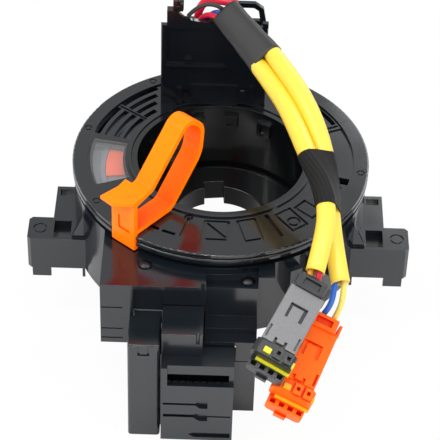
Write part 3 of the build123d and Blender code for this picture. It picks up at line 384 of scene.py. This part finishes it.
def woven_tape(name, colour, thread_mm):
    """Cloth: the greater of two crossed waves, one thread wide, as bump over a rough base."""
    material, tree = new_material(name)
    place = add(tree, "ShaderNodeTexCoord").outputs["UV"]
    warp, weft = (
        add(
            tree, "ShaderNodeTexWave", {"Vector": place, "Scale": WAVE_LENGTH / thread_mm},
            bands_direction=way,
        )
        for way in ("X", "Y")
    )
    cloth = add(
        tree, "ShaderNodeMath", {0: warp.outputs["Fac"], 1: weft.outputs["Fac"]}, operation="MAXIMUM",
    )
    bump = add(
        tree, "ShaderNodeBump", {"Height": cloth.outputs[0], "Strength": 0.7, "Distance": 0.05 * MM},
    )
    shader = add(
        tree, "ShaderNodeBsdfPrincipled",
        {
            "Base Color": linear(colour), "Roughness": 0.62, "Specular IOR Level": 0.3,
            "Normal": bump.outputs[0],
        },
    )
    add(tree, "ShaderNodeOutputMaterial", {"Surface": shader.outputs[0]})
    return material


# Black cloth and dull glue: it takes light without a highlight.
cloth_tape = woven_tape("woven_cloth_black_tape", "#0d0e0d", 0.22)
print("tape:", cloth_tape.name)

# %% [markdown]
# ## Metal and lens
# Terminals are stamped from tinned bronze, and the screws are blackened steel. Bare metal has
# no colour below its reflection, so a metallic shader with two values is enough. The lens over
# the centring mark is clear polycarbonate. True refraction in so thin a plate bends nothing
# that the eye would notice, so it is drawn as gloss over a nearly transparent sheet.

# %% Metal and lens
def metal(name, colour, roughness):
    """Bare metal: full metallic, its colour in the reflection."""
    material, tree = new_material(name)
    shader = add(
        tree, "ShaderNodeBsdfPrincipled",
        {"Base Color": linear(colour), "Metallic": 1.0, "Roughness": roughness},
    )
    add(tree, "ShaderNodeOutputMaterial", {"Surface": shader.outputs[0]})
    return material


def clear_sheet(name, tint):
    """Clear polycarbonate: a tenth of it covers, and its gloss lies over what is behind."""
    material, tree = new_material(name)
    shader = add(
        tree, "ShaderNodeBsdfPrincipled",
        {"Base Color": linear(tint), "Roughness": 0.06, "IOR": 1.58, "Alpha": 0.1},
    )
    add(tree, "ShaderNodeOutputMaterial", {"Surface": shader.outputs[0]})
    return material


# Tin over bronze: pale, warm and softly polished by the die.
tinned_bronze = metal("stamped_tinned_bronze", "#c9b68a", 0.3)
# Blackened steel: dark, with one soft spark on each domed head.
black_steel = metal("blackened_steel_screw", "#3a3a3e", 0.35)
# The lens is as smooth as glass and hardly tinted.
lens_clear = clear_sheet("moulded_polycarbonate_lens", "#dfe4e4")
print("metal and lens:", tinned_bronze.name, black_steel.name, lens_clear.name)

# %% [markdown]
# ## Cords
# A sleeve is a soft tube that bends smoothly. It could be swept as a mesh, but a NURBS curve
# with a round bevel keeps its line editable, and its few control points are the ones its
# solid has. Its length is measured on the same curve, drawn for a moment without its bevel.

# %% Cord helpers
CORD_STEPS = 16
CORD_ROUND = 6


def cord_line(name, route_mm, diameter, material):
    """NURBS curve with the route's points as control points, a round bevel and open ends."""
    curve = bpy.data.curves.new(name, "CURVE")
    curve.dimensions = "3D"
    spline = curve.splines.new("NURBS")
    spline.points.add(len(route_mm) - 1)
    for point, place in zip(spline.points, route_mm):
        point.co = (place[0] * MM, place[1] * MM, place[2] * MM, 1.0)
    spline.order_u = 3
    spline.use_endpoint_u = True
    spline.resolution_u = CORD_STEPS
    curve.bevel_depth = diameter / 2
    curve.bevel_resolution = CORD_ROUND
    curve.use_fill_caps = False
    curve.materials.append(material)
    return put(name, curve)


def centre_line(piece):
    """Points of a curve's own line: the mesh that the curve gives while it has no bevel."""
    depth = piece.data.bevel_depth
    piece.data.bevel_depth = 0.0
    mesh = bpy.data.meshes.new_from_object(piece)
    points = np.empty(len(mesh.vertices) * 3)
    mesh.vertices.foreach_get("co", points)
    bpy.data.meshes.remove(mesh)
    piece.data.bevel_depth = depth
    return points.reshape(-1, 3)


def line_length(points):
    """Sum of the distances between neighbouring points."""
    return float(np.linalg.norm(np.diff(points, axis=0), axis=1).sum())


print("a cord has", CORD_STEPS, "steps from one control point to the next")

# %% [markdown]
# ## The yellow sleeves
# Two soft vinyl sleeves leave the black one at the tower, pass over the rotor and droop
# towards the plugs. Yellow marks airbag wiring. Both could be solid rods, but their mouths are
# in plain view, so they are thin tubes with open ends. Where the tight black sleeve lets go of
# them they swell a little, which a radius on each control point gives.

# %% Yellow sleeves
SLEEVE_D = 6.25 * MM
SLEEVE_WALL = 0.55 * MM
SLEEVE_SWELL = 0.06
SLEEVE_SWELL_AT = 1.3
SLEEVE_A_ROUTE = [
    (11.5, 11.5, 68.0), (17.0, 0.5, 67.5), (22.0, -10.5, 66.4), (25.5, -21.5, 65.0),
    (29.0, -33.0, 63.5), (33.0, -43.0, 61.3), (34.8, -52.0, 58.3), (34.2, -61.0, 54.5),
    (31.2, -72.0, 48.4),
]
SLEEVE_B_ROUTE = [
    (16.3, 13.0, 72.0), (21.5, 2.6, 71.5), (26.9, -7.9, 69.5), (31.5, -18.5, 65.6),
    (34.5, -29.0, 61.2), (36.0, -39.5, 56.6), (36.5, -50.0, 52.0), (38.0, -60.0, 46.5),
    (39.9, -69.0, 41.2),
]


def give_wall(piece, thickness):
    """Solidify inwards, so that the outside keeps its size and open ends show a wall."""
    wall = piece.modifiers.new("wall", "SOLIDIFY")
    wall.thickness = thickness
    wall.offset = -1.0


def hollow_sleeve(name, route_mm):
    """Open tube; its radius swells as x exp(1 - x), x being the point's number over 1.3."""
    piece = cord_line(name, route_mm, SLEEVE_D, vinyl_yellow)
    for index, point in enumerate(piece.data.splines[0].points):
        x = index / SLEEVE_SWELL_AT
        point.radius = 1 + SLEEVE_SWELL * x * math.exp(1 - x)
    give_wall(piece, SLEEVE_WALL)
    return piece


sleeve_a = hollow_sleeve("vinyl_sleeve_a", SLEEVE_A_ROUTE)
sleeve_b = hollow_sleeve("vinyl_sleeve_b", SLEEVE_B_ROUTE)
line_a = centre_line(sleeve_a)
line_b = centre_line(sleeve_b)
for piece, line in ((sleeve_a, line_a), (sleeve_b, line_b)):
    print(piece.name, f"{line_length(line) / MM:.1f} mm long")

# %% [markdown]
# ## The wires
# Each sleeve holds two wires, which show between its mouth and its plug. Others rise from the
# tower's insert and turn over into the black sleeve. They could be new curves, but a wire is a
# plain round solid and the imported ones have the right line, so those stay and only take a
# colour.

# %% Wires
WIRES = {
    "red_lead": vinyl_red,
    "amber_lead": vinyl_amber,
    "blue_lead": vinyl_blue,
    "lemon_lead": vinyl_lemon,
    "tower_red": vinyl_red,
    "tower_blue": vinyl_blue,
    "tower_yellow": vinyl_amber,
    "feed_wire": vinyl_red,
}


def give_finish(node, material):
    """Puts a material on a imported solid, whose mesh stays as it is."""
    slots = frame["nodes"][node].data.materials
    slots.clear()
    slots.append(material)


for node, finish in WIRES.items():
    give_finish(node, finish)
print(len(WIRES), "wires in", len(set(WIRES.values())), "colours")

# %% [markdown]
# ## Surfaces from arrays
# The black sleeve and the tape fit tightly round what they hold, so their shapes are easiest
# to say as formulas: rows go along the piece and columns go round it. They could be sculpted,
# or pushed in place by a modifier. A grid of points needs neither, and one helper turns it
# into a mesh with a UV map measured in millimetres, so that a weave keeps its real size
# wherever the surface bends.

# %% Grid to mesh
CAP_SHARP_DEG = 70.0


def grid_piece(name, grid, material, capped=False):
    """Tube from a (rows, columns, 3) array; quads join neighbours, and if capped one face closes each
    end.
    """
    rows, columns, _ = grid.shape
    here = np.arange(rows * columns).reshape(rows, columns)
    beside = np.roll(here, -1, axis=1)
    quads = np.stack([here[:-1], beside[:-1], beside[1:], here[1:]], axis=-1).reshape(-1, 4)
    caps = [here[0][::-1].tolist(), here[-1].tolist()] if capped else []
    mesh = bpy.data.meshes.new(name)
    mesh.from_pydata(grid.reshape(-1, 3).tolist(), [], quads.tolist() + caps)
    along = np.cumsum(np.r_[0, np.linalg.norm(np.diff(grid[:, 0], axis=0), axis=1)])
    steps = np.linalg.norm(np.roll(grid, -1, axis=1) - grid, axis=2).mean(axis=0)
    around = np.r_[0, np.cumsum(steps)]
    left, low = np.meshgrid(around[:-1], along[:-1])
    right, high = np.meshgrid(around[1:], along[1:])
    u = np.stack([left, right, right, left], -1)
    v = np.stack([low, low, high, high], -1)
    on_caps = np.zeros(2 * sum(len(cap) for cap in caps))
    layer = mesh.uv_layers.new(name="UVMap")
    layer.uv.foreach_set("vector", np.r_[(np.stack([u, v], -1) / MM).ravel(), on_caps])
    mesh.materials.append(material)
    mesh.shade_smooth()
    mesh.set_sharp_from_angle(angle=math.radians(CAP_SHARP_DEG))
    print(name, rows, "rows of", columns, "points")
    return put(name, mesh)


# %% [markdown]
# ## The black sleeve
# Where the harness leaves the tower, a shrunk sleeve holds both yellow ones side by side, so
# its section is a flat oval, wider at the mouth than at the neck. A curve's bevel is round, so
# this is a tube of its own, carried along a straight line: half the width times a squared-off
# cosine one way, and half the height times a squared-off sine the other way. Its broad side
# lies along the line from one yellow sleeve's start to the other's.

# %% Black sleeve
# Places, width, height and wall are in millimetres. Neck, waist and crease are shares of the
# width and height.
BAND_START = np.array((0.1, 32.2, 74.7))
BAND_END = np.array((14.6, 11.2, 69.9))
BAND_ACROSS = np.array(SLEEVE_B_ROUTE[0]) - np.array(SLEEVE_A_ROUTE[0])
BAND_W = 13.1
BAND_H = 7.2
BAND_WALL = 0.6
BAND_NECK = 0.84
BAND_WAIST = 0.03
BAND_CREASE = 0.012
CREASE_RATE = 17
CREASE_FOLDS = 3
SQUARED_COS, SQUARED_SIN = 0.7, 0.85


def unit(vector):
    """Vector divided by its length."""
    return np.asarray(vector, float) / np.linalg.norm(vector)


def flat_tube(start, end, across, width, height, rows=25, columns=48):
    """Oval of |cos|^0.7 by |sin|^0.85, with their signs, along a straight line.

    It widens evenly from the neck, waists in as sin(pi t) and creases as sin(17 t) cos(3 turn).
    """
    along = unit(end - start)
    side = unit(across - along * np.dot(across, along))
    up = np.cross(along, side)
    t = np.linspace(0, 1, rows)[:, None, None]
    turn = np.linspace(0, 2 * np.pi, columns, endpoint=False)[None, :, None]
    taper = BAND_NECK + (1 - BAND_NECK) * t
    crease = BAND_CREASE * np.sin(CREASE_RATE * t) * np.cos(CREASE_FOLDS * turn)
    swell = taper * (1 - BAND_WAIST * np.sin(np.pi * t) + crease)
    flat_x = np.sign(np.cos(turn)) * np.abs(np.cos(turn)) ** SQUARED_COS
    flat_y = np.sign(np.sin(turn)) * np.abs(np.sin(turn)) ** SQUARED_SIN
    centre = start + (end - start) * t
    return centre + swell * (side * flat_x * width / 2 + up * flat_y * height / 2)


band = grid_piece(
    "shrunk_black_sleeve", flat_tube(BAND_START, BAND_END, BAND_ACROSS, BAND_W, BAND_H) * MM,
    shrunk_sleeve,
)
give_wall(band, BAND_WALL * MM)
print("black sleeve", round(float(np.linalg.norm(BAND_END - BAND_START)), 1), "mm long")

# %% [markdown]
# ## The sleeve's lip
# At the tower the sleeve is slit to let the wires in, and its cut edge stands over them as a
# rolled strip. A flat ribbon would look like paper from the side, so the strip has an oval
# section, carried along a parabola through three points, and a cap on each end.

# %% Lip
# In millimetres, from the left side of the tower to the right.
LIP_ARC = ((-13.0, 32.4, 72.6), (-6.3, 32.4, 77.6), (0.6, 32.4, 74.5))
LIP_DEPTH = 1.4
LIP_THICK = 1.5


def lip_strip(points, inward, depth, thick, rows=40, columns=20):
    """Oval on the parabola (1-t)^2 first + 2t(1-t) bend + t^2 last, through the middle point."""
    t = np.linspace(0, 1, rows)[:, None]
    first, middle, last = (np.array(p, float) for p in points)
    bend = middle * 2 - (first + last) / 2
    line = (1 - t) ** 2 * first + 2 * t * (1 - t) * bend + t ** 2 * last
    along = np.gradient(line, axis=0)
    along /= np.linalg.norm(along, axis=1, keepdims=True)
    side = np.array(inward, float)
    up = np.cross(along, side)
    turn = np.linspace(0, 2 * np.pi, columns, endpoint=False)[None, :, None]
    round_side = side * np.cos(turn) * depth / 2
    return line[:, None] + round_side + up[:, None] * np.sin(turn) * thick / 2


lip = grid_piece(
    "shrunk_sleeve_lip", lip_strip(LIP_ARC, (0, 1, 0), LIP_DEPTH, LIP_THICK) * MM,
    shrunk_sleeve, capped=True,
)

# %% [markdown]
# ## The tape
# Past the middle, three turns of cloth tape hold the sleeves together. Stretched tape takes the
# shape of a string round two circles. Cloth simulation could wrap it, but that outline has a
# formula: each point is one circle's centre plus its radius along a ray, and the centre
# changes sides as the ray does. A small saw-tooth along the tape gives the steps where one
# turn laps over the last, and squared cosines round it give the pulled pleats.

# %% Tape surface
# Depth and step are in millimetres.
PLEATS = 15
PLEAT_DEPTH = 0.16
LAP_STEP = 0.05
SIDE_SHARPNESS = 6


def wrap_surface(first, second, radius, laps, columns=180):
    """Middle + half the spread times tanh(6 cos) + (radius + lap) along a ray, at each row."""
    half = (second - first) / 2
    middle = (first + second) / 2
    along = np.gradient(middle, axis=0)
    along /= np.linalg.norm(along, axis=1, keepdims=True)
    half = half - along * (half * along).sum(axis=1, keepdims=True)
    side = half / np.linalg.norm(half, axis=1, keepdims=True)
    up = np.cross(along, side)
    turn = np.linspace(0, 2 * np.pi, columns, endpoint=False)
    reach = np.tanh(np.cos(turn) * SIDE_SHARPNESS)[None, :, None]
    phase = np.linspace(0, laps, len(first))[:, None] + turn[None, :] / (2 * np.pi)
    pleat = (0.5 + 0.5 * np.cos(PLEATS * turn[None, :] + phase)) ** 2
    lap = ((phase % 1.0) * LAP_STEP + pleat * PLEAT_DEPTH)[:, :, None] * MM
    ray = side[:, None] * np.cos(turn)[None, :, None] + up[:, None] * np.sin(turn)[None, :, None]
    return middle[:, None] + half[:, None] * reach + ray * (radius + lap)


def stretch(line, start, end, rows):
    """Points evenly spaced between two fractions of a line's length."""
    distance = np.r_[0, np.cumsum(np.linalg.norm(np.diff(line, axis=0), axis=1))]
    wanted = np.linspace(start, end, rows) * distance[-1]
    return np.stack([np.interp(wanted, distance, line[:, i]) for i in range(3)], axis=1)


print(PLEATS, "pleats go round the tape,", PLEAT_DEPTH, "mm deep")

# %% [markdown]
# ## The tape in its place
# The tape starts a little past the middle of the harness and covers under a quarter of it.
# Its ends could be typed as points. Fractions of the sleeves' own measured lines keep it on
# them if a route is changed.

# %% Tape wrap
TAPE_FROM, TAPE_TO = 0.515, 0.745
TAPE_LAPS = 3
TAPE_ROWS = 70
TAPE_GAP = 0.3
TAPE_T = 0.4

tape = grid_piece(
    "cloth_tape_wrap",
    wrap_surface(
        stretch(line_a, TAPE_FROM, TAPE_TO, TAPE_ROWS), stretch(line_b, TAPE_FROM, TAPE_TO, TAPE_ROWS),
        SLEEVE_D / 2 + TAPE_GAP * MM, laps=TAPE_LAPS,
    ),
    cloth_tape,
)
give_wall(tape, TAPE_T * MM)
print("far corner of the tape's box in mm", (np.array(tape.bound_box).max(0) / MM).round(1))

# %% [markdown]
# ## Moulded pieces with soft edges
# A moulded edge is never sharp: it rolls over in a tenth or two of a millimetre, and on
# black plastic that roll is what catches the light. The Bevel node could fake it in the
# shader, but real geometry also holds in the export. So each moulding is a merged copy of
# its solid, with flat triangles joined into faces and a small bevel on every real edge. The
# normals are weighted by area, so that large flats stay flat up to their rounded edges.

# %% Dress a solid
# A weight of 50 counts each face by its area alone.
AREA_WEIGHT = 50
WELD_MM = 0.002
FLAT_DEG = 0.6
EDGE_DEG = 36.0
BODY_OF = {
    node: body
    for body, nodes in frame["record"]["behaviour"]["bodies"].items()
    for node in nodes
}


def dress(node, material, edge_mm, angle_deg=EDGE_DEG):
    """Merged copy of a node with bevelled edges; faces that meet below the angle shade as one."""
    mesh = frame["nodes"][node].data.copy()
    mesh.name = node + "_moulding"
    work = bmesh.new()
    work.from_mesh(mesh)
    bmesh.ops.remove_doubles(work, verts=work.verts, dist=WELD_MM * MM)
    bmesh.ops.dissolve_limit(
        work, angle_limit=math.radians(FLAT_DEG), verts=work.verts, edges=work.edges,
    )
    work.to_mesh(mesh)
    work.free()
    mesh.materials.clear()
    mesh.materials.append(material)
    mesh.shade_smooth()
    mesh.set_sharp_from_angle(angle=math.radians(angle_deg))
    piece = put(mesh.name, mesh)
    edge = piece.modifiers.new("edge", "BEVEL")
    edge.width = edge_mm * MM
    edge.segments = 2
    edge.limit_method = "ANGLE"
    edge.angle_limit = math.radians(angle_deg)
    edge.use_clamp_overlap = True
    shading = piece.modifiers.new("shading", "WEIGHTED_NORMAL")
    shading.mode = "FACE_AREA"
    shading.weight = AREA_WEIGHT
    shading.keep_sharp = True
    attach(piece, BODY_OF[node])
    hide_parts(node)
    print(piece.name, len(mesh.polygons), "faces")


# %% [markdown]
# ## The drum
# The fixed half: a drum with two ears that is screwed behind the wheel, its rear cover, and
# the housing whose sockets take the car's loom. Bevels could differ from edge to edge, but
# one tool is polished by one hand, so one width does for a piece: a little under 0.2 mm here,
# and finer on small pieces.

# %% Drum
dress("stator_case", polyester_case, 0.18)
dress("back_cover", polyester_case, 0.15)
dress("connector_housing", polyester_housing, 0.18)
dress("housing_cap", polyester_housing, 0.18)

# %% [markdown]
# ## The rotor
# The turning half: a disc with its double rim and tower, the hub tube, the cam that cancels
# the turn signal, and the insert whose pins take the harness. The solid's rim is rounded in a
# few steps, and some meet at over 40 degrees. By the usual limit those would count as edges
# and break the light along the rim into dashes. A finer solid could cure that, but a higher
# limit is enough: faces of the disc shade as one up to 50 degrees.

# %% Rotor
ROTOR_EDGE_DEG = 50.0

dress("rotor_disc", polyester_rotor, 0.12, ROTOR_EDGE_DEG)
dress("rotor_hub", acetal_black, 0.15)
dress("cancel_cam", acetal_black, 0.2)
dress("tower_insert", polyester_housing, 0.12)

# %% [markdown]
# ## The clip
# One strap of polypropylene, bent into a loop for a finger and pushed through the rim, holds
# the rotor centred until the wheel is on. It could be drawn as a bent curve, but its solid
# already has the bends, the mark on its foot and the finger loop. A hand pulls on it, so
# its edges are the roundest of all.

# %% Clip
dress("lock_clip", polypropylene_orange, 0.25)

# %% [markdown]
# ## The plugs
# Both plugs are built alike: a nose with pin holes, a shell with its latch tab, a rear cover
# and a lock that slides in last. Each piece could be dressed by a line of its own, but a loop
# over the two colours keeps the pairs alike. Small precise mouldings have edges of little
# more than a tenth of a millimetre.

# %% Plugs
PLUG_FINISHES = {
    "grey_plug": (nylon_dark, nylon_grey, nylon_dark, nylon_yellow),
    "orange_plug": (nylon_orange, nylon_orange, nylon_orange, nylon_amber),
}
PLUG_EDGES = {"": 0.12, "_shell": 0.12, "_cover": 0.15, "_lock": 0.1}

for plug, finishes in PLUG_FINISHES.items():
    for (part, edge_mm), finish in zip(PLUG_EDGES.items(), finishes):
        dress(plug + part, finish, edge_mm)

# %% [markdown]
# ## Pieces that keep their solids
# Pins, screws, the lens and what turns inside the drum are simple and mostly out of sight.
# Copies with soft edges would only add faces that nobody sees, so the solids themselves are
# shown, and only take a finish.

# %% Plain solids
PLAIN = {
    "case_screws": black_steel,
    "socket_terminals": tinned_bronze,
    "tower_pins": tinned_bronze,
    "lead_block": acetal_black,
    "window_lens": lens_clear,
    "carrier_ring": acetal_grey,
    "neutral_marker": acetal_salmon,
    "flat_cable": copper_ribbon,
}
PLAIN.update({node: acetal_white for node in frame["nodes"] if node.startswith("roller_")})
for node, finish in PLAIN.items():
    give_finish(node, finish)
print(len(PLAIN), "plain solids")

# %% [markdown]
# ## What rides on what
# The harness leaves the tower, so it turns with the rotor. Each sleeve, the tape and the lip
# are attached to the rotor's body, and the imported solids they stand for are hidden.

# %% Cords attached
for piece, node in (
    (sleeve_a, "yellow_sleeve_a"), (sleeve_b, "yellow_sleeve_b"), (band, "black_sleeve"),
    (tape, "tape_wrap"), (lip, "black_sleeve"),
):
    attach(piece, "rotor")
    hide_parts(node)
    print(piece.name, "stands for", node)

# %% [markdown]
# ## The floor
# The part stands on a white board, which gives it a soft shadow to stand in. A shadow catcher
# would need a second layer, and plain white paint turns grey wherever the lamps are weak. So
# the camera sees the board mostly as glowing white, and a small share of it as paint, on which
# the shadow falls, while light that bounces off the board finds paint only.

# %% Floor
FLOOR_GAP = 0.2 * MM
FLOOR_HALF = 3.0
FLOOR_GLOW = 0.95

floor_z = CAD_BOX[0][2] - FLOOR_GAP
corners = np.array([(-1, -1), (1, -1), (1, 1), (-1, 1)]) * FLOOR_HALF
floor_mesh = bpy.data.meshes.new("floor")
floor_mesh.from_pydata([(x, y, floor_z) for x, y in corners.tolist()], [], [(0, 1, 2, 3)])
floor = put("floor", floor_mesh)
floor_material, floor_tree = new_material("painted_board_floor")
paint = add(floor_tree, "ShaderNodeBsdfDiffuse", {"Color": linear("#f2f2f2")})
glow = add(floor_tree, "ShaderNodeEmission", {"Color": linear("#ffffff"), "Strength": 1.0})
seen = add(floor_tree, "ShaderNodeLightPath")
share = add(
    floor_tree, "ShaderNodeMath", {0: seen.outputs["Is Camera Ray"], 1: FLOOR_GLOW},
    operation="MULTIPLY",
)
shown = add(
    floor_tree, "ShaderNodeMixShader",
    {0: share.outputs[0], 1: paint.outputs[0], 2: glow.outputs[0]},
)
add(floor_tree, "ShaderNodeOutputMaterial", {"Surface": shown.outputs[0]})
floor_mesh.materials.append(floor_material)
print(f"floor at {floor_z / MM:.1f} mm")

# %% [markdown]
# ## The room
# Black gloss shows only what it reflects, so the room itself is the main light. A studio
# picture could serve as the room, but an even one keeps flat faces even. It lights at two
# thirds of white, so that black tops turn dark grey, and the camera still sees it white.

# %% Room
ROOM_STRENGTH = 0.68

world = bpy.data.worlds.new("room")
world.use_nodes = True
room_tree = world.node_tree
room_tree.nodes.clear()
path = add(room_tree, "ShaderNodeLightPath")
either = add(
    room_tree, "ShaderNodeMath",
    {0: path.outputs["Is Camera Ray"], 1: path.outputs["Is Transmission Ray"]}, operation="MAXIMUM",
)
lit = add(room_tree, "ShaderNodeBackground", {"Color": linear("#ffffff"), "Strength": ROOM_STRENGTH})
white = add(room_tree, "ShaderNodeBackground", {"Color": linear("#ffffff"), "Strength": 1.0})
room = add(
    room_tree, "ShaderNodeMixShader", {0: either.outputs[0], 1: lit.outputs[0], 2: white.outputs[0]},
)
add(room_tree, "ShaderNodeOutputWorld", {"Surface": room.outputs[0]})
bpy.context.scene.world = world
bpy.context.scene.view_settings.view_transform = "Standard"
print("room at", ROOM_STRENGTH, "of white")

# %% [markdown]
# ## The lamps
# An even room alone leaves forms flat. One broad lamp over the left shoulder gives shape, a
# narrower one behind draws the far rim, and a low one in front opens the shade below the
# deck. A thin strip overhead is caught only by rounded edges, and draws the crisp line on
# each. Point lamps would burn small white dots into the gloss, so all four are area lamps.

# %% Lamps
def lamp(name, place_m, aim_m, size_m, watts):
    """Rectangular soft lamp that faces its aim."""
    data = bpy.data.lights.new(name, "AREA")
    data.shape = "RECTANGLE"
    data.size, data.size_y = size_m
    data.energy = watts
    light = put(name, data)
    direction = Vector(aim_m) - Vector(place_m)
    turn = direction.to_track_quat("-Z", "Y").to_matrix().to_4x4()
    light.matrix_world = Matrix.Translation(place_m) @ turn
    print(f"{name} {watts} W, {direction.length:.2f} m away")


lamp("broad_lamp", (-0.7, -0.3, 1.1), (0, 0, 0.02), (0.8, 0.6), 3.5)
lamp("rim_lamp", (0.5, 0.9, 0.7), (0, 0, 0.03), (0.8, 0.25), 3.5)
lamp("front_lamp", (0.25, -1.1, 0.25), (0, 0, 0.03), (0.7, 0.12), 2.5)
lamp("strip_lamp", (0, -0.36, 1.05), (0, 0, 0.03), (2.4, 0.045), 9.0)
